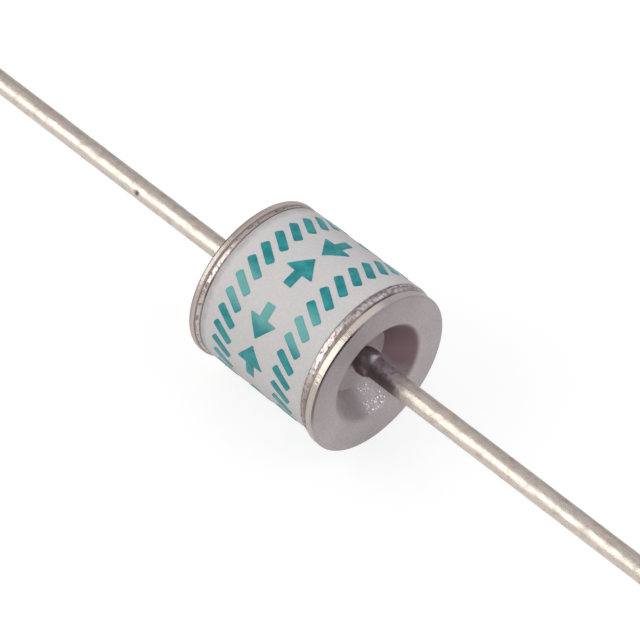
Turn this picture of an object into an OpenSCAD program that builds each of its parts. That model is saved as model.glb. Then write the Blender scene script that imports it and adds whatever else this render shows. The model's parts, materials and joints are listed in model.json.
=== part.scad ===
// Two-electrode gas discharge tube with axial leads, in millimetres.
// The tube's axis lies along X and the origin is the middle of the spark gap.
// Every right-hand piece is drawn in place at +X, and its left-hand twin is its mirror image.

/* [Ceramic tube] */
// Outside diameter of the ceramic tube
ceramic_d = 7.86; // [6.6:0.02:9]
// Length of the ceramic tube between its ground ends
ceramic_len = 6.6; // [5.4:0.1:9]
// Wall of the ceramic tube
ceramic_wall = 0.94; // [0.7:0.02:1.2]
// Chamfer on the outer edge of each ceramic end
ceramic_chamfer = 0.12; // [0.06:0.01:0.2]

/* [Braze rings] */
// Thickness of the braze between the ceramic and a flange
braze_t = 0.2; // [0.12:0.01:0.4]
// How far the braze bead stands proud of the ceramic
bead_proud = 0.06; // [0.03:0.01:0.12]
// How far the bead laps over the ceramic's side, past its chamfer
bead_lap = 0.08; // [0.04:0.01:0.2]

/* [Electrode flanges] */
// Thickness of the flange
flange_t = 0.45; // [0.28:0.01:0.55]
// How far the flange stands proud of the ceramic all round
flange_proud = 0.07; // [0:0.01:0.2]
// Rounding of the edges of the flange
flange_edge_r = 0.08; // [0.03:0.01:0.13]

/* [Electrode studs] */
// Distance between the tips of the two electrodes
spark_gap = 1.1; // [0.5:0.1:2.2]
// Radial room between the neck of the stud and the bore of the ceramic
neck_clearance = 0.16; // [0.06:0.01:0.4]
// Rounding in the corner between the stud and its flange
neck_fillet_r = 0.12; // [0.04:0.01:0.2]
// Slope of the stud's side against the tube's axis, in degrees
stud_slope = 10; // [4:1:16]
// Rounding of the edge of the stud's tip
tip_edge_r = 0.5; // [0.2:0.05:0.8]

/* [Electrode dishes] */
// Depth of the dish in the end face
dish_depth = 1.3; // [0.7:0.05:1.8]
// Slope of the dish's wall against the tube's axis, in degrees
dish_slope = 33; // [15:1:38]
// Metal between the mouth of the dish and the neck of the stud
dish_rim = 0.33; // [0.25:0.01:0.6]
// Rounding of the lip of the dish
dish_lip_r = 0.25; // [0.1:0.05:0.5]
// Rounding round the floor of the dish
dish_bend_r = 0.06; // [0.03:0.01:0.3]

/* [Emission coats] */
// Thickness of the coat on the tip of each electrode
coat_t = 0.05; // [0.02:0.01:0.15]
// Bare border round the coat, on the flat of the tip
coat_border = 0.2; // [0.05:0.05:0.6]

/* [Ignition strips] */
// Number of graphite strips round the bore of the ceramic
strip_count = 4; // [2:1:8]
// Width of a strip along the bore's wall
strip_w = 0.5; // [0.2:0.1:1]
// Length of a strip along the tube's axis
strip_len = 4.2; // [2:0.1:5]
// Thickness of a strip
strip_t = 0.03; // [0.02:0.01:0.06]

/* [Leads] */
// Diameter of the lead wire
lead_d = 1; // [0.6:0.05:1.2]
// Length over both leads, tip to tip
overall_len = 60; // [30:1:90]
// How far the ball of weld metal at the lead's root stands proud of the wire
weld_proud = 0.18; // [0.05:0.01:0.25]
// How much of the ball is flattened against the floor of the dish
weld_sink = 0.18; // [0.05:0.01:0.3]
// Radius of the neck where the ball runs out into the bare wire
weld_neck_r = 0.3; // [0.1:0.05:0.6]
// Chamfer on the cut end of a lead
cut_chamfer = 0.08; // [0.02:0.01:0.2]

/* [Printed dashes] */
// Number of dashes in a ring
dash_count = 29; // [12:1:34]
// Length of a dash
dash_len = 1.2; // [0.6:0.05:1.6]
// Width of a dash
dash_w = 0.38; // [0.2:0.02:0.5]
// Rounding of the corners of a dash
dash_corner_r = 0.1; // [0.02:0.01:0.1]
// Lean of a dash against the tube's axis, in degrees
dash_lean = 29; // [0:1:40]
// Distance from a ceramic end to the middle of its ring of dashes
ring_inset = 1.43; // [1:0.01:2]
// How far the whole print sits off the middle of the tube
print_shift = -0.16; // [-0.3:0.01:0.3]
// Turn of the print round the tube, in degrees
print_turn = 7.1; // [0:0.1:30]
// Thickness of the ink
ink_t = 0.02; // [0.01:0.01:0.05]

/* [Hidden] */

// Segments of a full turn, and of one bend in a turned outline
turn_fn = 96;
arc_steps = 10;

// Radii, from the outside of the tube inwards
ceramic_r = ceramic_d / 2;
bore_r = ceramic_r - ceramic_wall;
flange_r = ceramic_r + flange_proud;
neck_r = bore_r - neck_clearance;
mouth_r = neck_r - dish_rim;
lead_r = lead_d / 2;
weld_r = lead_r + weld_proud;

// Places along the axis on the right-hand side
ceramic_end = ceramic_len / 2;
seat = ceramic_end + braze_t;
face = seat + flange_t;
dish_floor = face - dish_depth;
tip = spark_gap / 2;
lead_end = overall_len / 2;

// Sharp corners of the electrode that its slopes lead to, before they are rounded
dish_floor_r = mouth_r - dish_depth * tan(dish_slope);
tip_r = neck_r - (seat - tip) * tan(stud_slope);

// Centres of the roundings of those corners. The neck's stays inside the room it has.
neck_round = min(neck_fillet_r, neck_clearance);
lip_centre = [mouth_r + dish_lip_r * set_back(dish_slope), face - dish_lip_r];
bend_centre = [dish_floor_r - dish_bend_r * set_back(dish_slope), dish_floor + dish_bend_r];
neck_centre = [neck_r + neck_round * set_back(stud_slope), seat - neck_round];
tip_centre = [tip_r - tip_edge_r * set_back(stud_slope), tip + tip_edge_r];

// The bead is the cap of a circle whose chord runs from the ceramic's side to the flange
bead_chord = braze_t + ceramic_chamfer + bead_lap;
bead_r = (bead_chord * bead_chord / 4 + bead_proud * bead_proud) / (2 * bead_proud);
bead_half = atan2(bead_chord / 2, bead_r - bead_proud);
bead_centre = [ceramic_r + bead_proud - bead_r, seat - bead_chord / 2];

// The weld ball, and its neck: an arc that touches both the ball and the wire
weld_centre = [0, dish_floor + weld_r - weld_sink];
weld_foot_angle = asin((weld_r - weld_sink) / weld_r);
neck_rise = sqrt(pow(weld_r + weld_neck_r, 2) - pow(lead_r + weld_neck_r, 2));
neck_angle = atan2(neck_rise, lead_r + weld_neck_r);
weld_neck_centre = weld_centre + [lead_r + weld_neck_r, neck_rise];

// Rings of dashes: their places along the axis, and the depth of the cutter that outlines a dash
ring_places = [print_shift - ceramic_end + ring_inset, print_shift + ceramic_end - ring_inset];
dash_cut_depth = 0.3;

// How far a rounding's centre stands off its corner for each unit of its radius,
// where a face square to the axis meets a wall that slopes against the axis
function set_back(slope) = (1 - sin(slope)) / cos(slope);

// Points along an arc. It starts at step 1 where the run before it already ends on its first point.
function arc(centre, radius, from, to, first = 0) =
    [for (i = [first : arc_steps])
        let (a = from + (to - from) * i / arc_steps)
        centre + radius * [cos(a), sin(a)]];

// Turns an outline of [radius, place along the axis] points about the tube's axis
module turned(outline) {
    rotate([0, 90, 0])
        rotate_extrude($fn = turn_fn)
            polygon(outline);
}

module ceramic_tube() {
    color("#d3d0d1")
        turned([
            [bore_r, -ceramic_end],
            [ceramic_r - ceramic_chamfer, -ceramic_end],
            [ceramic_r, -ceramic_end + ceramic_chamfer],
            [ceramic_r, ceramic_end - ceramic_chamfer],
            [ceramic_r - ceramic_chamfer, ceramic_end],
            [bore_r, ceramic_end]
        ]);
}

module right_braze_ring() {
    color("#cfc6b8")
        turned(concat(
            [[bore_r, ceramic_end]],
            [[ceramic_r - ceramic_chamfer, ceramic_end]],
            [[ceramic_r, ceramic_end - ceramic_chamfer]],
            arc(bead_centre, bead_r, -bead_half, bead_half),
            [[bore_r, seat]]
        ));
}

module left_braze_ring() {
    mirror([1, 0, 0])
        right_braze_ring();
}

// From the dish's floor over its lip to the flange's edge, then back under the flange to the tip
module right_electrode() {
    edge_r = flange_edge_r;
    color("#a59b9b")
        turned(concat(
            [[0, dish_floor]],
            arc(bend_centre, dish_bend_r, -90, -dish_slope),
            arc(lip_centre, dish_lip_r, 180 - dish_slope, 90),
            arc([flange_r - edge_r, face - edge_r], edge_r, 90, 0),
            arc([flange_r - edge_r, seat + edge_r], edge_r, 0, -90),
            arc(neck_centre, neck_round, 90, 180 - stud_slope),
            arc(tip_centre, tip_edge_r, -stud_slope, -90),
            [[0, tip]]
        ));
}

module left_electrode() {
    mirror([1, 0, 0])
        right_electrode();
}

module right_emission_coat() {
    coat_r = tip_centre[0] - coat_border;
    color("#8d867a")
        translate([tip - coat_t, 0, 0])
            rotate([0, 90, 0])
                cylinder(h = coat_t, r = coat_r, $fn = turn_fn);
}

module left_emission_coat() {
    mirror([1, 0, 0])
        right_emission_coat();
}

module ignition_strips() {
    strip_angle = strip_w / bore_r * 180 / PI;
    color("#3a3a3c")
        for (i = [0 : strip_count - 1])
            rotate([360 * i / strip_count, 0, 0])
                rotate([0, 90, 0])
                    rotate_extrude(angle = strip_angle, $fn = turn_fn)
                        translate([bore_r - strip_t, -strip_len / 2])
                            square([strip_t, strip_len]);
}

module right_lead() {
    color("#d8d0c4")
        turned(concat(
            [[0, dish_floor]],
            arc(weld_centre, weld_r, -weld_foot_angle, neck_angle),
            arc(weld_neck_centre, weld_neck_r, 180 + neck_angle, 180, 1),
            [[lead_r, lead_end - cut_chamfer]],
            [[lead_r - cut_chamfer, lead_end]],
            [[0, lead_end]]
        ));
}

module left_lead() {
    mirror([1, 0, 0])
        right_lead();
}

// One dash laid flat, its length along X before it leans
module dash_outline() {
    rotate(-dash_lean) {
        square([dash_len, dash_w - 2 * dash_corner_r], center = true);
        square([dash_len - 2 * dash_corner_r, dash_w], center = true);
        for (x = [-1, 1], y = [-1, 1])
            translate([x * (dash_len / 2 - dash_corner_r), y * (dash_w / 2 - dash_corner_r)])
                circle(r = dash_corner_r, $fn = turn_fn);
    }
}

// A skin of ink on the ceramic, kept only where a dash's outline is pressed into it
module printed_dashes() {
    color("#268e92")
        intersection() {
            turned([
                [ceramic_r, -ceramic_end],
                [ceramic_r + ink_t, -ceramic_end],
                [ceramic_r + ink_t, ceramic_end],
                [ceramic_r, ceramic_end]
            ]);
            for (place = ring_places, i = [0 : dash_count - 1])
                rotate([print_turn + 360 * i / dash_count - 90, 0, 0])
                    translate([place, 0, ceramic_r - dash_cut_depth])
                        linear_extrude(2 * dash_cut_depth)
                            dash_outline();
        }
}

ceramic_tube();
left_braze_ring();
right_braze_ring();
left_electrode();
right_electrode();
left_emission_coat();
right_emission_coat();
ignition_strips();
left_lead();
right_lead();
printed_dashes();
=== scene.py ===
import json
import math
from functools import partial

import bmesh
import bpy
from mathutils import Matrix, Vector


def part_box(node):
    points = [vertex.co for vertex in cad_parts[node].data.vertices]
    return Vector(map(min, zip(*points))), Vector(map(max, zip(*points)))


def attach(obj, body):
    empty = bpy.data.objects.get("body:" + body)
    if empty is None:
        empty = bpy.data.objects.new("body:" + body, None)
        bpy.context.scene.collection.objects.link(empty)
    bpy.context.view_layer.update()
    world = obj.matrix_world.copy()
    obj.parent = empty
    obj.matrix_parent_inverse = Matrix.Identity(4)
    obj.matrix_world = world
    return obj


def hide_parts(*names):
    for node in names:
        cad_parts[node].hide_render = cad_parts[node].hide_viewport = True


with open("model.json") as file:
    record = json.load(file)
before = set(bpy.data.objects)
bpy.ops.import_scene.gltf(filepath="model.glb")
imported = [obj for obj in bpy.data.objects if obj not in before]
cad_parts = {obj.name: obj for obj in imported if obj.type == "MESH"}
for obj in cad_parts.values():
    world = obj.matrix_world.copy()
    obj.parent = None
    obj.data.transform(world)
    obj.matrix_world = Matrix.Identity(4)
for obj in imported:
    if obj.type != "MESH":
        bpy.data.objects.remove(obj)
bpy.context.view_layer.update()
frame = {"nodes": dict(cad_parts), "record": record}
scene = bpy.context.scene
mm = 0.001

# Sizes that the frame gives, on the right-hand side of the tube
sleeveR, sleeveEnd = -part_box("ceramic_tube")[0].z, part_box("ceramic_tube")[1].x
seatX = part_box("right_braze_ring")[1].x
tipX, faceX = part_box("right_electrode")[0].x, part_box("right_electrode")[1].x
flangeR = -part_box("right_electrode")[0].z
dishFloorX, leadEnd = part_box("right_lead")[0].x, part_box("right_lead")[1].x
weldR = -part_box("right_lead")[0].z
wireR = frame["record"]["mounts"][0]["dims"]["r_mm"] * mm
inkThick = -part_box("printed_dashes")[0].z - sleeveR
print("sizes: sleeve", round(sleeveR / mm, 3), "flange", round(flangeR / mm, 3), "wire", round(wireR / mm, 3))


def hexColour(code):  # sRGB hex to linear RGBA
    parts = [int(code[i:i + 2], 16) / 255 for i in (1, 3, 5)]
    return [c / 12.92 if c <= 0.04045 else ((c + 0.055) / 1.055) ** 2.4 for c in parts] + [1.0]


def clamp(value):
    return min(1.0, max(0.0, value))


def radial(angle):  # the way out from the tube's axis, in degrees from +Y towards +Z
    return Vector((0.0, math.cos(math.radians(angle)), math.sin(math.radians(angle))))


# Fills a node's inputs, in their order or by name with _ for a space.
# A node or a socket is linked, a hex colour is made linear, anything else is set.
def plug(tree, node, *values, **named):
    inputs = [socket for socket in node.inputs if socket.enabled]
    byName = {socket.name: socket for socket in inputs}
    pairs = list(zip(inputs, values))
    pairs += [(byName[name.replace("_", " ")], value) for name, value in named.items()]
    for socket, value in pairs:
        if isinstance(value, bpy.types.Node):
            value = next(output for output in value.outputs if output.enabled)
        if isinstance(value, bpy.types.NodeSocket):
            tree.links.new(value, socket)
        elif isinstance(value, str) and value.startswith("#"):
            socket.default_value = hexColour(value)
        else:
            socket.default_value = value


def addNode(tree, kind, *values, **named):  # names with a capital are inputs, the others settings
    node = tree.nodes.new(kind if "Node" in kind else "ShaderNode" + kind)
    for name, value in named.items():
        if name[0].islower():
            setattr(node, name, value)
    plug(tree, node, *values, **{name: value for name, value in named.items() if name[0].isupper()})
    return node


def newMaterial(name, **constants):
    material = bpy.data.materials.new(name)
    material.use_nodes = True
    tree = material.node_tree
    add, dress = partial(addNode, tree), partial(plug, tree, tree.nodes["Principled BSDF"])
    dress(**constants)
    return material, add, dress, add("TexCoord").outputs["Object"]


# In every material Map Range takes value, from min, from max, to min and to max

# Sintered alumina, ground and unglazed: a satin white with a cool and a warm cast in patches,
# fine grain, a grey metal smear where the braze was run on, and painted shade towards its outline.
def makeAlumina():
    material, add, dress, coords = newMaterial("sinteredAlumina", IOR=1.76, Specular_IOR_Level=0.15)
    grain = add("TexNoise", coords, Scale=1 / (0.09 * mm), Detail=3.0)  # coarser than the real 0.02 mm, so it shows
    patch = add("TexNoise", coords, Scale=1 / (1.5 * mm), Detail=4.0)
    tint = add("Mix", patch, "#dddcdf", "#e9e4e1", data_type="RGBA")
    fleck = add("MapRange", grain, 0.3, 0.7, 0.94, 1.03)
    body = add("Mix", 1.0, tint, fleck, data_type="RGBA", blend_type="MULTIPLY")
    away = add("Math", add("SeparateXYZ", coords).outputs["X"], operation="ABSOLUTE")
    ragged = add("TexNoise", coords, Scale=1 / (0.35 * mm), Detail=3.0)
    reach = add("Math", ragged, 0.45 * mm, away, operation="MULTIPLY_ADD")
    smear = add("MapRange", reach, sleeveEnd - 0.12 * mm, sleeveEnd + 0.14 * mm, 0.0, 0.45)
    smeared = add("Mix", smear, body, "#a39c9a", data_type="RGBA")
    glance = add("LayerWeight", 0.5).outputs["Facing"]
    depth = add("MapRange", glance, 0.55, 0.97, 1.0, 0.8)  # painted shade: the colour darkens where the surface turns away from view
    edgeShadedBody = add("Mix", 1.0, smeared, depth, data_type="RGBA", blend_type="MULTIPLY")
    polish = add("MapRange", patch, 0.3, 0.7, 0.42, 0.54)
    bump = add("Bump", Height=grain, Strength=0.5, Distance=0.006 * mm)
    dress(Base_Color=edgeShadedBody, Roughness=polish, Normal=bump)
    return material


# How far a spot faces one way out from the axis
def facing(add, coords, way):
    flat = add("VectorMath", coords, (0.0, 1.0, 1.0), operation="MULTIPLY")
    outward = add("VectorMath", flat, operation="NORMALIZE")
    return add("VectorMath", outward, way, operation="DOT_PRODUCT")


# The same as a soft mask round one angle, on the right-hand cap alone
def sideMask(add, coords, angle, least, most, share):
    near = add("MapRange", facing(add, coords, radial(angle)), least, most, 0.0, share)
    rightOnly = add("MapRange", add("SeparateXYZ", coords).outputs["X"], 0.0, 1 * mm)
    return add("Math", near, rightOnly, operation="MULTIPLY")


# Silver braze, run in molten and tinned over: a bright lumpy bead with dull flux in its hollows,
# frosted where it cooled slowly, painted shade at its foot and a painted highlight on its crown, and painted shade in
# its groove on top and low down.
def makeBraze():
    material, add, dress, coords = newMaterial("silverBraze")
    mask = partial(sideMask, add, coords)
    placeX = add("SeparateXYZ", coords).outputs["X"]
    zone = add("Attribute", attribute_name="zone").outputs["Fac"]  # 1 in the groove
    lumps = add("TexNoise", coords, Scale=1 / (0.15 * mm), Detail=3.0)
    fine = add("TexNoise", coords, Scale=1 / (0.05 * mm), Detail=2.0)
    dull = add("MapRange", lumps, 0.5, 0.36)
    colour = add("Mix", dull, "#c2b8b3", "#91868a", data_type="RGBA")
    frost = mask(80, 0.86, 0.99, 0.8)
    crown = add("MapRange", placeX, 3.14 * mm, 3.36 * mm)  # painted shade at the bead's foot rising to a painted highlight on its top, from the film up to the bead's top
    frostShadeAndHighlight = add("Mix", crown, "#857980", "#e2d7db", data_type="RGBA")
    frostFleck = add("MapRange", lumps, 0.36, 0.64, 0.55, 1.45)
    flecked = add("Mix", 1.0, frostShadeAndHighlight, frostFleck, data_type="RGBA", blend_type="MULTIPLY")
    frosted = add("Mix", frost, colour, flecked, data_type="RGBA")
    onEdge = add("Math", placeX, -3.37 * mm, 0.035 * mm, operation="COMPARE")  # the left bead's thin dull edge
    edged = add("Mix", onEdge, frosted, "#8d8081", data_type="RGBA")
    fluxed = add("Mix", zone, edged, "#a8988f", data_type="RGBA")
    # painted shade: the bead and its groove darken on the low side
    paintedLowShade = add("Mix", zone, "#846f6a", "#4e413c", data_type="RGBA")
    lowShaded = add("Mix", mask(190, 0.75, 0.96, 0.7), fluxed, paintedLowShade, data_type="RGBA")
    # painted shade: the groove darkens on the top side
    grooveShadeMask = add("Math", zone, mask(85, 0.955, 0.985, 0.95), operation="MULTIPLY")
    grooveShaded = add("Mix", grooveShadeMask, lowShaded, "#2c2426", data_type="RGBA")
    matte = add("Math", zone, frost, operation="MAXIMUM")
    chalky = add("Math", matte, dull, operation="MAXIMUM")
    rough = add("MapRange", chalky, 0.0, 1.0, 0.31, 0.58)
    bare = add("MapRange", matte, 0.0, 1.0, 1.0, 0.3)
    bump = add("Bump", Height=lumps, Strength=0.7, Distance=0.007 * mm)
    bumpFine = add("Bump", Height=fine, Strength=0.4, Distance=0.003 * mm, Normal=bump)
    dress(Base_Color=grooveShaded, Metallic=bare, Roughness=rough, Normal=bumpFine)
    return material


# Copper electrode under matte tin plating: the end face and dish are soft grey and grainy from the bath,
# with painted shade towards the face's upper front; the flange's side is burnished bright in rolled lines behind a
# dark, worn corner, and painted shade darkens one side of the dish.
def makePlatedCopper():
    material, add, dress, coords = newMaterial("platedCopper")
    mask = partial(sideMask, add, coords)
    placeX = add("SeparateXYZ", coords).outputs["X"]
    # -2 dish floor, -1 dish wall, 0 face, 1 corner, 2 side, 3 groove
    zone = add("Attribute", attribute_name="zone").outputs["Fac"]
    grain = add("TexNoise", coords, Scale=1 / (0.08 * mm), Detail=4.0, Roughness=0.65)
    cloud = add("TexNoise", coords, Scale=1 / (0.9 * mm), Detail=3.0)
    # the plated face
    faceTint = add("Mix", cloud, "#d2c6c8", "#ded3d4", data_type="RGBA")
    fleck = add("MapRange", grain, 0.3, 0.7, 0.85, 1.12)
    upFront = add("VectorMath", coords, (0.0, -0.54, 0.84), operation="DOT_PRODUCT")
    paintedFaceShade = add("MapRange", upFront, 0.0, 3.4 * mm, 1.0, 0.77)  # painted shade: the face darkens towards its upper front side
    grainAndFaceShade = add("Math", fleck, paintedFaceShade, operation="MULTIPLY")
    faceColour = add("Mix", 1.0, faceTint, grainAndFaceShade, data_type="RGBA", blend_type="MULTIPLY")
    # in the dish: painted shade on the right wall and on the lower left wall, and a pale tin haze with painted sheen
    # round the spatter
    # painted shade on the dish's right wall, which faces away from the light
    shadedSide = add("Math", cloud, 0.3, facing(add, coords, radial(20)), operation="MULTIPLY_ADD")
    shadedArc = add("MapRange", shadedSide, 0.4, 0.8, 0.0, 0.9)
    inDish = add("MapRange", zone, -0.2, -0.7)
    onWall = add("MapRange", zone, -1.7, -1.3, 0.3, 1.0)
    wall = add("Math", inDish, onWall, operation="MULTIPLY")
    wallShadeMask = add("Math", shadedArc, wall, operation="MULTIPLY")
    # painted shade on the lower left wall of the dish, broken into wisps
    smoke = add("TexNoise", coords, Scale=1 / (0.5 * mm), Detail=5.0, Roughness=0.6, Distortion=0.6)
    wisps = add("MapRange", smoke, 0.4, 0.62)
    wispsInDish = add("Math", wisps, inDish, operation="MULTIPLY")
    lowerWallShade = add("Math", wispsInDish, mask(212, 0.74, 0.95, 0.18), operation="MULTIPLY")
    lowerWallShaded = add("Mix", lowerWallShade, faceColour, "#7d7376", data_type="RGBA")
    wallGrain = add("Math", grain, wall, operation="MULTIPLY")
    hazeAndSheenMask = add("Math", wallGrain, mask(273, 0.93, 0.99, 0.9), operation="MULTIPLY")  # tin haze and painted sheen round the spatter, where the wall catches the light
    hazeAndSheenShown = add("Mix", hazeAndSheenMask, lowerWallShaded, "#f6f0ee", data_type="RGBA")
    wallShaded = add("Mix", wallShadeMask, hazeAndSheenShown, "#93767b", data_type="RGBA")
    # the flange's corner and side, which rubbed on one side only
    fromCorner = add("Math", zone, 1.0, operation="SUBTRACT")
    offCorner = add("Math", fromCorner, operation="ABSOLUTE")
    corner = add("MapRange", offCorner, 0.8, 0.35)
    wornSide = facing(add, coords, radial(146))
    wornArc = add("MapRange", wornSide, 0.72, 0.88, 0.12, 1.0)
    wear = add("Math", corner, wornArc, operation="MULTIPLY")
    worn = add("Mix", wear, wallShaded, "#7a6965", data_type="RGBA")
    lines = add("TexNoise", add("CombineXYZ", placeX), Scale=1 / (0.07 * mm), Detail=3.0)
    rimTint = add("Mix", lines, "#a0968f", "#c8c1b7", data_type="RGBA")
    leftOnly = add("MapRange", placeX, 0.0, -1 * mm)
    leftDull = add("Mix", leftOnly, rimTint, "#a0968f", data_type="RGBA")
    onRim = add("MapRange", zone, 1.4, 1.8)
    rubbed = add("MapRange", wornSide, 0.3, 0.75, 0.12, 1.0)
    rim = add("Math", onRim, rubbed, operation="MULTIPLY")
    rimmed = add("Mix", rim, worn, leftDull, data_type="RGBA")
    glint = add("Math", onRim, mask(100, 0.955, 0.985, 0.6), operation="MULTIPLY")
    glinted = add("Mix", glint, rimmed, "#efe6da", data_type="RGBA")  # painted highlight: a pale wedge where the rubbed side's highlight ends
    # flux in the groove, painted paler on the left, with painted shade on its top and low sides
    flux = add("MapRange", zone, 2.3, 2.9)
    # painted light: the flux is paler on the left, lifting the shade in the left groove
    fluxLitLeft = add("Mix", leftOnly, "#a8988f", "#ded0ca", data_type="RGBA")
    # painted shade: the groove darkens on the low side
    fluxShadedLow = add("Mix", mask(186, 0.76, 0.95, 0.85), fluxLitLeft, "#5e514d", data_type="RGBA")
    # painted shade: the groove darkens on the top side
    grooveShadeTint = add("Mix", mask(85, 0.955, 0.985, 0.95), fluxShadedLow, "#2c2426", data_type="RGBA")
    colour = add("Mix", flux, glinted, grooveShadeTint, data_type="RGBA")
    bright = add("Math", wear, rim, operation="MAXIMUM")
    clean = add("Math", bright, flux, operation="SUBTRACT")
    bare = add("MapRange", clean, 0.0, 1.0, 0.4, 1.0)  # the matte plating scatters much of its light
    polish = add("MapRange", bright, 0.0, 1.0, 0.55, 0.25)
    rough = add("Math", flux, 0.25, polish, operation="MULTIPLY_ADD")
    bump = add("Bump", Height=grain, Strength=0.6, Distance=0.012 * mm)
    bumpLines = add("Bump", Height=lines, Strength=0.5, Distance=0.006 * mm, Normal=bump)
    across = add("Mapping", coords, Scale=(0.1, 1.0, 1.0))
    chatter = add("TexNoise", across, Scale=1 / (0.16 * mm), Detail=2.0)  # the rolling tool's, across the side
    chatterDepth = add("Math", chatter, rim, operation="MULTIPLY")
    bumpChatter = add("Bump", Height=chatterDepth, Strength=0.7, Distance=0.034 * mm, Normal=bumpLines)
    dress(Base_Color=colour, Metallic=bare, Roughness=rough, Normal=bumpChatter)
    return material


# A small dark nick in the left lead
nick = {"along": -11.41 * mm, "angle": 158, "size": 0.17 * mm, "depth": 0.05 * mm}
nickPoint = Vector((nick["along"], 0.0, 0.0)) + radial(nick["angle"]) * wireR


# Hot-dip tinned copper wire: warm silver with runs and dull streaks along its length.
# Its weld root is darker and pitted.
def makeTinnedWire():
    material, add, dress, coords = newMaterial("tinnedWire", Metallic=1.0)
    along = add("Mapping", coords, Scale=(0.12, 1.0, 1.0))  # runs are eight times longer than wide
    streak = add("TexNoise", along, Scale=1 / (0.14 * mm), Detail=4.0, Roughness=0.6)
    patch = add("TexNoise", coords, Scale=1 / (0.45 * mm), Detail=4.0)
    pits = add("TexNoise", coords, Scale=1 / (0.11 * mm), Detail=3.0, Roughness=0.6)
    blotch = add("TexNoise", coords, Scale=1 / (0.3 * mm), Detail=3.0)
    # the scorched weld root; painted shade carries its dark further along the lead's underside, and it is paler on the
    # top
    away = add("Math", add("SeparateXYZ", coords).outputs["X"], operation="ABSOLUTE")
    under = add("MapRange", facing(add, coords, (0.0, -0.94, -0.34)), 0.0, 0.6)
    ragged = add("Math", blotch, 0.8 * mm, away, operation="MULTIPLY_ADD")
    scorchAndUnderShade = add("Math", under, -0.5 * mm, ragged, operation="MULTIPLY_ADD")
    weld = add("MapRange", scorchAndUnderShade, faceX + 1.6 * mm, faceX + 1.1 * mm)
    brown = add("Mix", pits, "#5e5053", "#93807f", data_type="RGBA")
    scale = add("MapRange", blotch, 0.24, 0.5)
    shallow = add("MapRange", away, dishFloorX + 0.1 * mm, dishFloorX + 1.2 * mm)
    onTop = add("Math", 1.0, under, operation="SUBTRACT")
    paleTop = add("Math", shallow, onTop, operation="MULTIPLY")
    pale = add("Math", scale, paleTop, operation="MULTIPLY")
    burnt = add("Mix", pale, brown, "#d0c7d1", data_type="RGBA")
    # the tinned length
    tin = add("Mix", streak, "#b9aea5", "#dcd3c8", data_type="RGBA")
    stain = add("MapRange", patch, 0.52, 0.68, 1.0, 0.84)
    stained = add("Mix", 1.0, tin, stain, data_type="RGBA", blend_type="MULTIPLY")
    fleck = add("TexNoise", coords, Scale=1 / (0.07 * mm), Detail=2.0)  # coarser than the real frosting, so it shows
    frost = add("MapRange", fleck, 0.3, 0.7, 0.86, 1.12)
    frosted = add("Mix", 1.0, stained, frost, data_type="RGBA", blend_type="MULTIPLY")
    toNick = add("VectorMath", coords, nickPoint, operation="DISTANCE")
    bruise = add("MapRange", toNick, nick["size"], 0.4 * nick["size"], 0.0, 0.85)
    bruised = add("Mix", bruise, frosted, "#4a403d", data_type="RGBA")
    colour = add("Mix", weld, bruised, burnt, data_type="RGBA")
    polish = add("MapRange", patch, 0.3, 0.7, 0.26, 0.42)
    rough = add("Math", weld, 0.16, polish, operation="MULTIPLY_ADD")
    bump = add("Bump", Height=streak, Strength=0.7, Distance=0.02 * mm)
    pitting = add("MapRange", weld, 0.0, 1.0, 0.3, 1.0)
    pitDepth = add("Math", pits, pitting, operation="MULTIPLY")
    bumpPits = add("Bump", Height=pitDepth, Strength=0.8, Distance=0.03 * mm, Normal=bump)
    dress(Base_Color=colour, Roughness=rough, Normal=bumpPits)
    return material


# Pad-printing ink, cured epoxy: a flat teal skin, thinner in clouds where the ceramic pales it.
def makePadInk():
    material, add, dress, coords = newMaterial("tealPadInk", IOR=1.5, Specular_IOR_Level=0.3)
    cloud = add("TexNoise", coords, Scale=1 / (0.4 * mm), Detail=3.0)
    speck = add("TexNoise", coords, Scale=1 / (0.07 * mm), Detail=2.0)
    thin = add("MapRange", cloud, 0.35, 0.7)
    ink = add("Mix", thin, "#1b8a91", "#39a8aa", data_type="RGBA")
    # painted highlight: the ink pales along one line of the sleeve, where its sheen falls
    edge, middle = math.cos(math.radians(17)), math.cos(math.radians(3))
    along = facing(add, coords, radial(132.5))
    paintedSheen = add("MapRange", along, edge, middle, 0.0, 0.6, interpolation_type="SMOOTHSTEP")
    colour = add("Mix", paintedSheen, ink, "#80c9c2", data_type="RGBA")
    rough = add("MapRange", speck, 0.3, 0.7, 0.25, 0.36)
    bump = add("Bump", Height=speck, Strength=0.4, Distance=0.004 * mm)
    dress(Base_Color=colour, Roughness=rough, Normal=bump)
    return material


# Tin thrown off the weld, frozen in the air: small bright caps under a faint skin of oxide.
def makeSpatterTin():
    material, add, dress, coords = newMaterial("frozenTin", Metallic=1.0)
    skin = add("TexNoise", coords, Scale=1 / (0.03 * mm), Detail=2.0)
    colour = add("Mix", skin, "#ece8e6", "#fbf8f5", data_type="RGBA")
    dress(Base_Color=colour, Roughness=add("MapRange", skin, 0.0, 1.0, 0.2, 0.36))
    return material


# Sintered emission paste and rubbed graphite, sealed inside: chalky grey-brown and sooty black.
def makeInnerCoat(name, dark, light, grainSize, roughness):
    material, add, dress, coords = newMaterial(name, Roughness=roughness)
    grain = add("TexNoise", coords, Scale=1 / grainSize, Detail=4.0)
    colour = add("Mix", grain, dark, light, data_type="RGBA")
    dress(Base_Color=colour, Normal=add("Bump", Height=grain, Strength=0.6, Distance=0.01 * mm))
    return material


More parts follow.
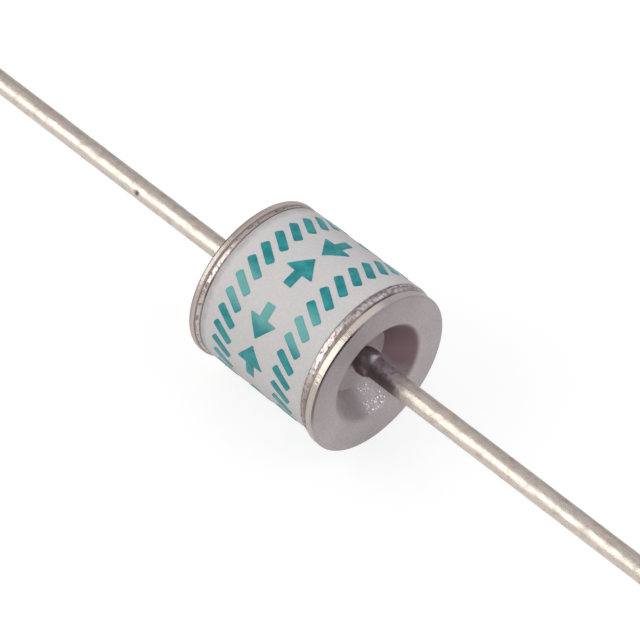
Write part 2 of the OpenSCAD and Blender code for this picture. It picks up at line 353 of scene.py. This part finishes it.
aluminaMaterial = makeAlumina()
brazeMaterial = makeBraze()
electrodeMaterial = makePlatedCopper()
wireMaterial = makeTinnedWire()
inkMaterial = makePadInk()
spatterMaterial = makeSpatterTin()
emissionMaterial = makeInnerCoat("sinteredEmissionPaste", "#6f685d", "#9a9285", 0.06 * mm, 0.9)
graphiteMaterial = makeInnerCoat("rubbedGraphite", "#2b2b2d", "#47474a", 0.1 * mm, 0.6)
print("materials: ceramic, metals and ink made")

weldDistance = 1e-7  # vertices closer than this are one
sharpAngle = math.radians(48)


def newTree(name, sizes):  # the tree's geometry comes first, then its named inputs
    tree = bpy.data.node_groups.new(name, "GeometryNodeTree")
    for size, kind in {"Geometry": "Geometry", **sizes, "Material": "Material"}.items():
        tree.interface.new_socket(size, in_out="INPUT", socket_type="NodeSocket" + kind)
    tree.interface.new_socket("Geometry", in_out="OUTPUT", socket_type="NodeSocketGeometry")
    add = partial(addNode, tree)
    return tree, add, add("NodeGroupInput").outputs


def endTree(add, given, geometry):  # every tree ends as real geometry in its material
    real = add("GeometryNodeRealizeInstances", geometry)
    dressed = add("GeometryNodeSetMaterial", real, Material=given["Material"])
    add("NodeGroupOutput", dressed)


def roundAxis(add, along, radius, angle):  # a point at this radius and angle round the tube's axis
    across = add("Math", radius, add("Math", angle, operation="COSINE"), operation="MULTIPLY")
    upward = add("Math", radius, add("Math", angle, operation="SINE"), operation="MULTIPLY")
    return add("CombineXYZ", along, across, upward)


# Turns a flat outline (place along X, radius along Y) round the tube's axis and lays lumps on it.
# Each outline point carries how much of the lump height it takes, and the zone its material shows.
def makeTurnTree():
    sizes = {"Steps Round": "Int", "Lump Height": "Float", "Lump Size": "Float", "Seed": "Float"}
    tree, add, given = newTree("turnOutline", sizes)
    points = add("GeometryNodeAttributeDomainSize", given["Geometry"]).outputs["Point Count"]
    columns = add("Math", given["Steps Round"], 1.0, operation="ADD")
    grid = add("GeometryNodeMeshGrid", 1.0, 1.0, points, columns)
    position = add("GeometryNodeInputPosition")
    spot = add("SeparateXYZ", position)
    last = add("Math", points, 1.0, operation="SUBTRACT")
    share = add("Math", spot.outputs["X"], 0.5, operation="ADD")
    row = add("Math", share, last, operation="MULTIPLY")
    index = add("FunctionNodeFloatToInt", row, rounding_mode="ROUND")
    outline = add("GeometryNodeSampleIndex", given["Geometry"], position, index, data_type="FLOAT_VECTOR")
    marked = grid
    for name in ("lump", "zone"):
        mark = add("GeometryNodeInputNamedAttribute", name, data_type="FLOAT")
        found = add("GeometryNodeSampleIndex", given["Geometry"], mark, index, data_type="FLOAT")
        marked = add("GeometryNodeStoreNamedAttribute", marked, Name=name, Value=found, data_type="FLOAT")
    angle = add("Math", spot.outputs["Y"], 2 * math.pi, operation="MULTIPLY")
    point = add("SeparateXYZ", outline)
    turned = roundAxis(add, point.outputs["X"], point.outputs["Y"], angle)
    rolled = add("GeometryNodeSetPosition", marked, Position=turned)
    closed = add("GeometryNodeMergeByDistance", rolled, Distance=weldDistance)
    scale = add("Math", 1.0, given["Lump Size"], operation="DIVIDE")
    noise = add("TexNoise", position, W=given["Seed"], Scale=scale, Detail=3.0, noise_dimensions="4D")
    swing = add("MapRange", noise, 0.25, 0.75, -1.0, 1.0)
    height = add("Math", swing, given["Lump Height"], operation="MULTIPLY")
    taken = add("GeometryNodeInputNamedAttribute", "lump", data_type="FLOAT")
    local = add("Math", height, taken, operation="MULTIPLY")
    push = add("VectorMath", add("GeometryNodeInputNormal"), Scale=local, operation="SCALE")
    lumped = add("GeometryNodeSetPosition", closed, Offset=push)
    endTree(add, given, add("GeometryNodeSetShadeSmooth", lumped, Shade_Smooth=True))
    return tree


# Repeats a flat ink patch round the sleeve, with a little wander in its edges, and bends it on.
def makePrintTree():
    sizes = {"Copies": "Int", "Turn": "Float", "Radius": "Float", "Wander": "Float", "Wander Size": "Float"}
    tree, add, given = newTree("printRound", {**sizes, "Seed": "Float"})
    girth = add("Math", given["Radius"], 2 * math.pi, operation="MULTIPLY")
    pitch = add("Math", girth, given["Copies"], operation="DIVIDE")
    step = add("CombineXYZ", Y=pitch)
    line = add("GeometryNodeMeshLine", Count=given["Copies"], Offset=step, mode="OFFSET")
    copies = add("GeometryNodeInstanceOnPoints", line, Instance=given["Geometry"])
    flat = add("GeometryNodeRealizeInstances", copies)
    position = add("GeometryNodeInputPosition")
    scale = add("Math", 1.0, given["Wander Size"], operation="DIVIDE")
    noise = add("TexNoise", position, W=given["Seed"], Scale=scale, Detail=2.0, noise_dimensions="4D")
    centred = add("VectorMath", noise.outputs["Color"], (0.5, 0.5, 0.5), operation="SUBTRACT")
    level = add("VectorMath", centred, (2.0, 2.0, 0.0), operation="MULTIPLY")
    drift = add("VectorMath", level, Scale=given["Wander"], operation="SCALE")
    loose = add("GeometryNodeSetPosition", flat, Offset=drift)
    spot = add("SeparateXYZ", position)
    arc = add("Math", spot.outputs["Y"], given["Radius"], operation="DIVIDE")
    angle = add("Math", arc, given["Turn"], operation="ADD")
    radius = add("Math", spot.outputs["Z"], given["Radius"], operation="ADD")
    bent = roundAxis(add, spot.outputs["X"], radius, angle)
    endTree(add, given, add("GeometryNodeSetPosition", loose, Position=bent))
    return tree


# Scatters flat, half-sunk droplets over a patch of wall.
def makeDropTree():
    sizes = {"Density": "Float", "Least Size": "Float", "Most Size": "Float", "Flatness": "Float", "Seed": "Int"}
    tree, add, given = newTree("scatterDrops", sizes)
    spots = add("GeometryNodeDistributePointsOnFaces", given["Geometry"], Density=given["Density"],
                Seed=given["Seed"], distribute_method="RANDOM")
    size = add("FunctionNodeRandomValue", given["Least Size"], given["Most Size"], Seed=given["Seed"],
               data_type="FLOAT")
    flatter = add("Math", size, given["Flatness"], operation="MULTIPLY")
    shape = add("CombineXYZ", size, size, flatter)
    ball = add("GeometryNodeMeshIcoSphere", 1.0, 3)
    drop = add("GeometryNodeSetShadeSmooth", ball, Shade_Smooth=True)
    drops = add("GeometryNodeInstanceOnPoints", spots, Instance=drop, Rotation=spots.outputs["Rotation"], Scale=shape)
    endTree(add, given, drops)
    return tree


turnTree = makeTurnTree()
printTree = makePrintTree()
dropTree = makeDropTree()
print("node trees: turnOutline, printRound and scatterDrops built")


def runTree(piece, tree, values):  # grows the piece by its tree and leaves a plain closed mesh
    modifier = piece.modifiers.new(tree.name, "NODES")
    modifier.node_group = tree
    for item in tree.interface.items_tree:
        if item.in_out == "INPUT" and item.name in values:
            modifier[item.identifier] = values[item.name]
    bpy.context.view_layer.update()
    graph = bpy.context.evaluated_depsgraph_get()
    mesh = bpy.data.meshes.new_from_object(piece.evaluated_get(graph))
    piece.modifiers.clear()
    piece.data = mesh
    work = bmesh.new()
    work.from_mesh(mesh)
    bmesh.ops.remove_doubles(work, verts=work.verts, dist=weldDistance)
    bmesh.ops.recalc_face_normals(work, faces=work.faces)
    work.to_mesh(mesh)
    work.free()
    mesh.set_sharp_from_angle(angle=sharpAngle)
    return piece


def newPiece(name, mesh):
    piece = bpy.data.objects.new(name, mesh)
    scene.collection.objects.link(piece)
    return piece


# An outline point is (place along, radius, share of the lumps, zone)
def arcRun(centreX, centreR, radius, fromDeg, toDeg, steps, lump=0.0, zones=(0.0, 0.0)):  # 0 is along the axis
    points = []
    for i in range(steps + 1):
        a = math.radians(fromDeg + (toDeg - fromDeg) * i / steps)
        zone = zones[0] + (zones[1] - zones[0]) * i / steps
        points.append((centreX + radius * math.cos(a), centreR + radius * math.sin(a), lump, zone))
    return points


def straightRun(start, end, spacing, lump=0.0, zone=0.0):  # points from start up to, but without, end
    steps = max(1, round(math.dist(start[:2], end[:2]) / spacing))
    stepX, stepR = (end[0] - start[0]) / steps, (end[1] - start[1]) / steps
    return [(start[0] + stepX * i, start[1] + stepR * i, lump, zone) for i in range(steps)]


# sign is 1 on the right and -1 on the left. offCentre moves the piece sideways,
# not at all up to the first of its two places along the axis and fully from the second.
def turnPiece(name, outline, sign, part, seed, material, offCentre=(0.0, 0.0), easeIn=(0.0, 1e-6)):
    mesh = bpy.data.meshes.new(name)
    edges = [(i, i + 1) for i in range(len(outline) - 1)]
    mesh.from_pydata([(sign * point[0], point[1], 0.0) for point in outline], edges, [])
    for column, mark in ((2, "lump"), (3, "zone")):
        marks = [point[column] for point in outline]
        mesh.attributes.new(mark, "FLOAT", "POINT").data.foreach_set("value", marks)
    piece = runTree(newPiece(name, mesh), turnTree, {
        "Steps Round": part["stepsRound"], "Lump Height": part["lumpHeight"], "Lump Size": part["lumpSize"],
        "Seed": seed, "Material": material})
    for vertex in piece.data.vertices:
        share = clamp((abs(vertex.co.x) - easeIn[0]) / (easeIn[1] - easeIn[0]))
        vertex.co += Vector((0.0, *offCentre)) * share
    print("turned", name, len(piece.data.polygons), "faces")
    return piece


sides = (("right", 1), ("left", -1))

# Sleeve: bore, ground ends and rounded chamfers
sleeve = {
    "bore": 2.99 * mm,
    "boreChamfer": 0.1 * mm,
    "chamfer": 0.12 * mm,
    "leftEnd": sleeveEnd + 0.08 * mm,  # the left end sits deeper in its braze
    "leftChamfer": 0.05 * mm,
    "soften": 0.05 * mm,
    "spacing": 0.16 * mm,
    "stepsRound": 300,
    "lumpHeight": 0.003 * mm,
    "lumpSize": 1.2 * mm,
    "seed": 1.0,
}


def sleeveHalf(end, cut):
    soft, bore, boreCut = sleeve["soften"], sleeve["bore"], sleeve["boreChamfer"]
    lean = soft * math.tan(math.radians(22.5))  # where a 45 degree corner's arc starts
    half = arcRun(end - cut - lean, sleeveR - soft, soft, 90, 45, 4)
    half += arcRun(end - soft, sleeveR - cut - lean, soft, 45, 0, 4)
    return half + [(end, bore + boreCut, 0.0, 0.0), (end - boreCut, bore, 0.0, 0.0)]


def sleeveOutline():
    half = sleeveHalf(sleeveEnd, sleeve["chamfer"])
    leftHalf = sleeveHalf(sleeve["leftEnd"], sleeve["leftChamfer"])
    otherHalf = [(-point[0], *point[1:]) for point in reversed(leftHalf)]
    middle = straightRun((otherHalf[-1][0], sleeveR), (half[0][0], sleeveR), sleeve["spacing"], 1.0)
    ring = otherHalf + middle[1:] + half
    return ring + [ring[0]]


sleevePiece = turnPiece("aluminaSleeve", sleeveOutline(), 1, sleeve, sleeve["seed"], aluminaMaterial)

# Both caps were brazed on a little to the front of the axis, the right-hand one more
offCentre = {"right": (-0.14 * mm, -0.07 * mm), "left": (-0.06 * mm, -0.03 * mm)}

# Braze beads: a lumpy film over the ceramic's edge that swells and falls into a groove at the flange.
# The right-hand one ran further and lumpier than the left. Rise, fall, groove and flux are shares of its length.
beadFilm = {
    "steps": 28,
    "sink": 0.004 * mm,
    "groove": 0.95,
    "fluxFrom": 0.74,
    "fluxLength": 0.2,
    "leastLump": 0.35,
    "innerDepth": 0.14 * mm,  # depths below the ceramic's surface
    "toeDepth": 0.04 * mm,
    "toeIn": 0.02 * mm,
    "heelDepth": 0.1 * mm,
}
beads = {
    "right": {
        "filmStart": 3.02 * mm,
        "filmEnd": seatX,
        "crown": 0.035 * mm,
        "rise": 0.16,
        "fall": 0.34,
        "stepsRound": 640,
        "lumpHeight": 0.014 * mm,
        "lumpSize": 0.18 * mm,
        "seed": 4.0,
    },
    "left": {
        "filmStart": 3.35 * mm,
        "filmEnd": seatX + 0.16 * mm,
        "crown": 0.01 * mm,
        "rise": 0.3,
        "fall": 0.34,
        "stepsRound": 640,
        "lumpHeight": 0.01 * mm,
        "lumpSize": 0.4 * mm,
        "seed": 9.0,
    },
}


def beadOutline(bead):
    start, stop, bore = bead["filmStart"], bead["filmEnd"], sleeve["bore"]
    base = sleeveR - beadFilm["sink"]
    height = bead["crown"] + beadFilm["sink"]
    inner = max(sleeveEnd, start)
    ring = [(inner, bore, 0.0, 0.0), (inner, sleeveR - beadFilm["innerDepth"], 0.0, 0.0)]
    ring.append((start + beadFilm["toeIn"], sleeveR - beadFilm["toeDepth"], 0.0, 0.0))
    for i in range(beadFilm["steps"] + 1):
        t = i / beadFilm["steps"]
        up, down = clamp(t / bead["rise"]), clamp((beadFilm["groove"] - t) / bead["fall"])
        swell = up * up * (3 - 2 * up) * down * down * (3 - 2 * down)
        lump = beadFilm["leastLump"] + (1 - beadFilm["leastLump"]) * swell
        flux = clamp((t - beadFilm["fluxFrom"]) / beadFilm["fluxLength"])
        ring.append((start + (stop - start) * t, base + height * swell, lump, flux))
    ring += [(stop, sleeveR - beadFilm["heelDepth"], 0.0, 1.0), (stop, bore, 0.0, 1.0)]
    return ring + [ring[0]]


beadPieces = {}
for side, sign in sides:
    bead = beads[side]
    beadPieces[side] = turnPiece(side + "BrazeBead", beadOutline(bead), sign, bead, bead["seed"], brazeMaterial,
                                 offCentre[side], (bead["filmStart"], bead["filmEnd"]))

# Electrodes: flange, dish with a rolled lip, and the stud that reaches to the spark gap
electrode = {
    "edgeR": 0.065 * mm,
    "backEdgeR": {"right": 0.08 * mm, "left": 0.06 * mm},
    "backFace": {"right": seatX, "left": seatX + 0.16 * mm},
    "sideZone": {"right": 2.0, "left": 2.42},  # the left flange is the duller one
    "mouthR": 2.5 * mm,
    "dishSlope": 33,
    "lipR": 0.34 * mm,
    "bendR": 0.03 * mm,
    "neckR": 2.83 * mm,
    "neckRound": 0.12 * mm,
    "studSlope": 10,
    "tipEdgeR": 0.5 * mm,
    "faceMargin": 0.05 * mm,  # plain strips before and after the front corner
    "sideMargin": 0.02 * mm,
    "dishSpacing": 0.06 * mm,
    "faceSpacing": 0.12 * mm,
    "sideSpacing": 0.08 * mm,
    "dishLump": 0.3,
    "lipLump": 0.15,
    "faceLump": 0.12,
    "rimLump": 0.08,
    "lumpHeight": 0.022 * mm,
    "lumpSize": 0.28 * mm,
    "stepsRound": 400,
    "seed": {"right": 2.0, "left": 6.0},
    "easeIn": (2.0 * mm, dishFloorX - 0.05 * mm),
}
dishFloorR = electrode["mouthR"] - (faceX - dishFloorX) * math.tan(math.radians(electrode["dishSlope"]))


def setBack(slope):  # a rounding's centre off its corner, for each unit of radius
    return (1 - math.sin(math.radians(slope))) / math.cos(math.radians(slope))


def electrodeOutline(side):  # its zones are those that the plating's material names
    e = electrode
    seat, sideZone = e["backFace"][side], e["sideZone"][side]
    edgeR, backR, bendR, lipR, neckR, tipEdgeR = (
        e["edgeR"], e["backEdgeR"][side], e["bendR"], e["lipR"], e["neckRound"], e["tipEdgeR"])
    dish, stud, dishLump, rimLump = e["dishSlope"], e["studSlope"], e["dishLump"], e["rimLump"]
    tipR = e["neckR"] - (seatX - tipX) * math.tan(math.radians(stud))
    bend = arcRun(dishFloorX + bendR, dishFloorR - bendR * setBack(dish), bendR, 180, 90 + dish, 6,
                  dishLump, (-2.0, -1.0))
    lip = arcRun(faceX - lipR, e["mouthR"] + lipR * setBack(dish), lipR, dish - 90, 0, 12, e["lipLump"], (-1.0, 0.0))
    front = arcRun(faceX - edgeR, flangeR - edgeR, edgeR, 0, 90, 8, rimLump, (0.85, 1.4))
    back = arcRun(seat + backR, flangeR - backR, backR, 90, 180, 6, rimLump, (sideZone + 0.2, 3.0))
    neck = arcRun(seatX - neckR, e["neckR"] + neckR * setBack(stud), neckR, 0, stud - 90, 5)
    tip = arcRun(tipX + tipEdgeR, tipR - tipEdgeR * setBack(stud), tipEdgeR, 90 + stud, 180, 8)
    faceEnd = (faceX, front[0][1] - e["faceMargin"], rimLump, 0.0)
    sideStart = (front[-1][0] - e["sideMargin"], flangeR, rimLump, sideZone)
    points = straightRun((dishFloorX, 0.0), bend[0], e["dishSpacing"], dishLump, -2.0) + bend
    points += straightRun(bend[-1], lip[0], e["dishSpacing"], dishLump, -1.0)[1:] + lip
    points += straightRun(lip[-1], faceEnd, e["faceSpacing"], e["faceLump"])[1:] + [faceEnd] + front
    points += straightRun(sideStart, back[0], e["sideSpacing"], rimLump, sideZone) + back
    return points + neck + tip + [(tipX, 0.0, 0.0, 0.0)]


electrodePieces = {}
for side, sign in sides:
    electrodePieces[side] = turnPiece(side + "Electrode", electrodeOutline(side), sign, electrode,
                                      electrode["seed"][side], electrodeMaterial, offCentre[side], electrode["easeIn"])

# Spatter of tin that the weld threw on the low side of the right-hand dish, as two patches of droplets
spatter = {
    "patches": [  # depth below the face from and to, angle from and to, droplets to a square millimetre
        (0.65 * mm, 1.15 * mm, 266, 280, 40),
        (0.14 * mm, 0.6 * mm, 260, 287, 64),
    ],
    "patchSteps": 6,
    "leastSize": 0.024 * mm,
    "mostSize": 0.07 * mm,
    "flatness": 0.32,
    "seed": 3,
}


def dishWall(depth, angle):
    r = electrode["mouthR"] - depth * math.tan(math.radians(electrode["dishSlope"]))
    a = math.radians(angle)
    return (faceX - depth, r * math.cos(a) + offCentre["right"][0], r * math.sin(a) + offCentre["right"][1])


spatterWork = bmesh.new()
for fromDepth, toDepth, fromAngle, toAngle, density in spatter["patches"]:
    patch = bpy.data.meshes.new("spatterPatch")
    steps = spatter["patchSteps"]
    angles = [fromAngle + (toAngle - fromAngle) * i / steps for i in range(steps + 1)]
    corners = [dishWall(depth, angle) for angle in angles for depth in (fromDepth, toDepth)]
    patch.from_pydata(corners, [], [(2 * i, 2 * i + 1, 2 * i + 3, 2 * i + 2) for i in range(steps)])
    scattered = runTree(newPiece("spatterPatch", patch), dropTree, {
        "Density": density / mm ** 2, "Least Size": spatter["leastSize"], "Most Size": spatter["mostSize"],
        "Flatness": spatter["flatness"], "Seed": spatter["seed"], "Material": spatterMaterial})
    spatterWork.from_mesh(scattered.data)
    bpy.data.objects.remove(scattered)
spatterMesh = bpy.data.meshes.new("tinSpatter")
spatterWork.to_mesh(spatterMesh)
spatterWork.free()
spatterMesh.materials.append(spatterMaterial)
spatterPiece = newPiece("tinSpatter", spatterMesh)
print("scattered tinSpatter", len(spatterMesh.polygons), "faces")

# Leads: a ball of weld metal that necks into uneven tinned wire, and a sheared end
lead = {
    "weldSink": 0.18 * mm,
    "weldNeckR": 0.3 * mm,
    "cutChamfer": 0.08 * mm,
    "spacing": 0.1 * mm,
    "lumpHeight": 0.075 * mm,
    "lumpSize": 0.42 * mm,
    "weldShare": 0.5,
    "wireShare": 0.08,
    "cutShare": 0.04,
    "stepsRound": 72,
    "seed": {"right": 3.0, "left": 7.0},
}


def leadOutline():
    ballX, neckR, cut = dishFloorX + weldR - lead["weldSink"], lead["weldNeckR"], lead["cutChamfer"]
    neckX = math.sqrt((weldR + neckR) ** 2 - (wireR + neckR) ** 2)
    neckDeg = math.degrees(math.atan2(wireR + neckR, neckX))
    footDeg = math.degrees(math.acos((dishFloorX - ballX) / weldR))
    ball = arcRun(ballX, 0.0, weldR, footDeg, neckDeg, 26, lead["weldShare"])
    neck = arcRun(ballX + neckX, wireR + neckR, neckR, 180 + neckDeg, 270, 10, lead["wireShare"])
    points = [(dishFloorX, 0.0, 0.0, 0.0)] + ball + neck[1:]
    points += straightRun(points[-1], (leadEnd - cut, wireR), lead["spacing"], lead["wireShare"])[1:]
    points += arcRun(leadEnd - cut, wireR - cut, cut, 90, 0, 5, lead["cutShare"])
    return points + [(leadEnd, 0.0, 0.0, 0.0)]


leadPieces = {}
for side, sign in sides:
    leadPieces[side] = turnPiece(side + "TinnedLead", leadOutline(), sign, lead, lead["seed"][side], wireMaterial)
for vertex in leadPieces["left"].data.vertices:
    near = 1 - (vertex.co - nickPoint).length / nick["size"]
    if near > 0:
        vertex.co -= radial(nick["angle"]) * nick["depth"] * near

# Print: two rings of leaning dashes, and between them a spark-gap sign repeated round the sleeve
dashes = {
    "copies": 29,
    "length": 1.2 * mm,
    "width": 0.42 * mm,
    "cornerR": 0.1 * mm,
    "lean": 32,
    "places": ((-1.98 * mm, -0.04 * mm), (1.74 * mm, 0.0)),  # along the axis and round the girth
    "turn": 7.1,
    "wander": 0.014 * mm,
    "wanderSize": 0.3 * mm,
    "seed": 5.0,
}
signs = {
    "copies": 5,
    "barLength": 0.75 * mm,
    "barWidth": 0.48 * mm,
    "headLength": 1.0 * mm,
    "headWidth": 1.56 * mm,
    "gap": 0.42 * mm,
    "tailRound": 0.04 * mm,
    "barbFlare": 0.02 * mm,
    "barbStep": 0.01 * mm,
    "barbRound": 0.05 * mm,
    "tipRound": 0.03 * mm,
    "lean": 90,
    "place": -0.16 * mm,
    "turn": 158.6,
    "wander": 0.016 * mm,
    "wanderSize": 0.35 * mm,
    "seed": 5.0,
}


# One closed skin of ink from rows of (place along, half width); its edges are drawn down.
# lean turns it from the tube's axis towards its girth.
def inkPatch(work, rows, lean, placeX, placeY=0.0):
    shares, edgeThick = (-1.0, -0.86, -0.45, 0.0, 0.45, 0.86, 1.0), 0.6
    turn = math.radians(lean)
    top, bottom = [], []
    for n, (along, half) in enumerate(rows):
        rowTop, rowBottom = [], []
        for share in shares:
            x = placeX + along * math.cos(turn) - share * half * math.sin(turn)
            y = placeY + along * math.sin(turn) + share * half * math.cos(turn)
            edge = abs(share) == 1.0 or n in (0, len(rows) - 1)
            rowTop.append(work.verts.new((x, y, inkThick * (edgeThick if edge else 1.0))))
            rowBottom.append(work.verts.new((x, y, 0.0)))
        top.append(rowTop)
        bottom.append(rowBottom)
    lastRow, lastShare = len(rows) - 1, len(shares) - 1
    for i in range(lastRow):
        for j in range(lastShare):
            work.faces.new((top[i][j], top[i + 1][j], top[i + 1][j + 1], top[i][j + 1]))
            work.faces.new((bottom[i][j], bottom[i][j + 1], bottom[i + 1][j + 1], bottom[i + 1][j]))
        for j in (0, lastShare):
            work.faces.new((top[i][j], bottom[i][j], bottom[i + 1][j], top[i + 1][j]))
    for i in (0, lastRow):
        for j in range(lastShare):
            work.faces.new((top[i][j], top[i][j + 1], bottom[i][j + 1], bottom[i][j]))


def printPiece(name, work, part):
    mesh = bpy.data.meshes.new(name)
    work.to_mesh(mesh)
    work.free()
    piece = runTree(newPiece(name, mesh), printTree, {
        "Copies": part["copies"], "Turn": math.radians(part["turn"]), "Radius": sleeveR, "Wander": part["wander"],
        "Wander Size": part["wanderSize"], "Seed": part["seed"], "Material": inkMaterial})
    print("printed", name, len(piece.data.polygons), "faces")
    return piece


def dashRows():
    half, reach, corner = dashes["width"] / 2, dashes["length"] / 2, dashes["cornerR"]
    rows = []
    for degrees in (0, 30, 60, 90):  # the rounded corner
        a = math.radians(degrees)
        rows.append((-reach + corner - corner * math.cos(a), half - corner + corner * math.sin(a)))
    rows += [(-0.3 * dashes["length"], half), (-0.15 * dashes["length"], half), (0.0, half)]
    return rows + [(-along, h) for along, h in reversed(rows[:-1])]


def signRows():  # one bar and its arrow head; the sign's other half is its mirror image
    bar, head = signs["barWidth"] / 2, signs["headWidth"] / 2
    tip = -signs["gap"] / 2
    neck = tip - signs["headLength"]
    tail = neck - signs["barLength"]
    rows = [(tail, bar * 0.8), (tail + signs["tailRound"], bar)]
    rows += [(tail + signs["barLength"] * share, bar) for share in (0.35, 0.7, 0.97)]
    rows += [(neck, bar + signs["barbFlare"]), (neck + signs["barbStep"], head * 0.9)]
    rows.append((neck + signs["barbRound"], head * 0.98))
    rows += [(neck + signs["headLength"] * share, head * (1.03 - share)) for share in (0.12, 0.3, 0.5, 0.7, 0.9)]
    return rows + [(tip - signs["tipRound"], head * 0.08), (tip, head * 0.03)]


dashWork = bmesh.new()
for placeX, placeY in dashes["places"]:
    inkPatch(dashWork, dashRows(), dashes["lean"], placeX, placeY)
dashPiece = printPiece("inkDashes", dashWork, dashes)

signWork = bmesh.new()
for rows in (signRows(), [(-along, h) for along, h in reversed(signRows())]):
    inkPatch(signWork, rows, signs["lean"], signs["place"])
signPiece = printPiece("inkSparkGapSigns", signWork, signs)

# Every piece rides on the one body and stands for its solid
for piece, node, slot in [
    (sleevePiece, "ceramic_tube", "alumina"),
    (beadPieces["right"], "right_braze_ring", "braze"),
    (beadPieces["left"], "left_braze_ring", "braze"),
    (electrodePieces["right"], "right_electrode", "plated_electrode"),
    (electrodePieces["left"], "left_electrode", "plated_electrode"),
    (leadPieces["right"], "right_lead", "tinned_wire"),
    (leadPieces["left"], "left_lead", "tinned_wire"),
    (dashPiece, "printed_dashes", "teal_ink"),
    (signPiece, None, "teal_ink"),
    (spatterPiece, None, "tinned_wire"),
]:
    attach(piece, "root")
    if node:
        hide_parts(node)

for node, material in (
    ("left_emission_coat", emissionMaterial),
    ("right_emission_coat", emissionMaterial),
    ("ignition_strips", graphiteMaterial),
):
    data = frame["nodes"][node].data
    data.materials.clear()
    data.materials.append(material)
print("pieces: ride on root, inner coats and strips dressed")

# Studio: a white floor just under the flanges, a grey room and four soft panels
studio = {
    "floorSize": 3.0,
    "roomLevel": 0.12,
    "floorGlow": 0.8,
    "metalGlow": 0.36,
    "dimBy": 40 * mm,  # the floor that the metal mirrors dims over this length to the back
    "panels": [  # name, direction from the tube, distance, width, height, radiance, colour
        ("keyPanel", (-0.49, -0.71, 0.51), 0.5, 0.38, 0.49, 2.5, "#fffefc"),
        ("topPanel", (-0.28, 0.25, 0.93), 0.6, 0.9, 0.9, 0.66, "#fffbfd"),
        ("backPanel", (-0.45, 0.87, 0.12), 0.7, 0.7, 0.5, 0.55, "#fffbfd"),
        ("rightPanel", (0.62, 0.42, 0.66), 0.6, 0.5, 0.5, 1.3, "#f6f9ff"),
    ],
}


def makeFloorPaper():  # matte white paper that glows to the eye and in the metal, and keeps the shadow
    material = bpy.data.materials.new("whiteFloorPaper")
    material.use_nodes = True
    material.node_tree.nodes.clear()
    add = partial(addNode, material.node_tree)
    path = add("LightPath").outputs
    seen = add("Math", path["Is Camera Ray"], path["Is Transmission Ray"], operation="MAXIMUM")
    coords = add("TexCoord").outputs["Object"]
    fibre = add("TexNoise", coords, Scale=1 / (2 * mm), Detail=3.0)
    paper = add("BsdfDiffuse", add("Mix", fibre, "#d6d6d6", "#dedede", data_type="RGBA"))
    glow = add("Emission", "#ffffff", studio["floorGlow"])
    shown = add("AddShader", add("BsdfDiffuse", "#959595"), glow)
    backward = add("MapRange", add("SeparateXYZ", coords).outputs["Y"], 0.0, studio["dimBy"])
    dimmer = add("Mix", backward, "#f6f6f6", "#a4a4a4", data_type="RGBA")
    metalGlow = add("Emission", dimmer, studio["metalGlow"])
    mirrored = add("AddShader", add("BsdfDiffuse", dimmer), metalGlow)
    inMetal = add("MixShader", path["Is Glossy Ray"], paper, mirrored)
    add("OutputMaterial", add("MixShader", seen, inMetal, shown))
    return material


floorMesh = bpy.data.meshes.new("floor")
reach = studio["floorSize"] / 2
floorZ = min(vertex.co.z for piece in electrodePieces.values() for vertex in piece.data.vertices)
floorCorners = [(x * reach, y * reach, floorZ) for x, y in ((-1, -1), (1, -1), (1, 1), (-1, 1))]
floorMesh.from_pydata(floorCorners, [], [(0, 1, 2, 3)])
floorMesh.materials.append(makeFloorPaper())
newPiece("floor", floorMesh)

world = bpy.data.worlds.new("greyRoom")
world.use_nodes = True
room = world.node_tree
toEye = addNode(room, "LightPath").outputs["Is Camera Ray"]
roomLevel = addNode(room, "MapRange", toEye, 0.0, 1.0, studio["roomLevel"], 1.0)  # white behind the floor's edge
plug(room, room.nodes["Background"], Color="#ffffff", Strength=roomLevel)
scene.world = world

for name, direction, distance, width, height, radiance, colour in studio["panels"]:
    data = bpy.data.lights.new(name, "AREA")
    data.shape, data.size, data.size_y = "RECTANGLE", width, height
    data.energy = radiance * math.pi * width * height
    data.color = hexColour(colour)[:3]
    lamp = bpy.data.objects.new(name, data)
    lamp.location = Vector(direction).normalized() * distance
    lamp.rotation_euler = Vector(direction).to_track_quat("Z", "Y").to_euler()
    scene.collection.objects.link(lamp)

# Camera: the photograph's viewing angle
cameraSet = {
    "azimuth": 46.04,
    "elevation": 47.26,
    "distance": 143.1 * mm,
    "fieldOfView": 11.24,
    "aim": (0.0, 0.16 * mm, 0.103 * mm),
    "clip": (0.001, 10.0),
}
cameraData = bpy.data.cameras.new("camera")
cameraData.angle = math.radians(cameraSet["fieldOfView"])
cameraData.clip_start, cameraData.clip_end = cameraSet["clip"]
camera = bpy.data.objects.new("camera", cameraData)
turn, tilt = math.radians(cameraSet["azimuth"]), math.radians(cameraSet["elevation"])
toCamera = Vector((math.sin(turn) * math.cos(tilt), -math.cos(turn) * math.cos(tilt), math.sin(tilt)))
camera.location = Vector(cameraSet["aim"]) + toCamera * cameraSet["distance"]
camera.rotation_euler = (-toCamera).to_track_quat("-Z", "Y").to_euler()
scene.collection.objects.link(camera)
scene.camera = camera
scene.view_settings.view_transform = "Standard"
print("studio: floor, panels and camera set")
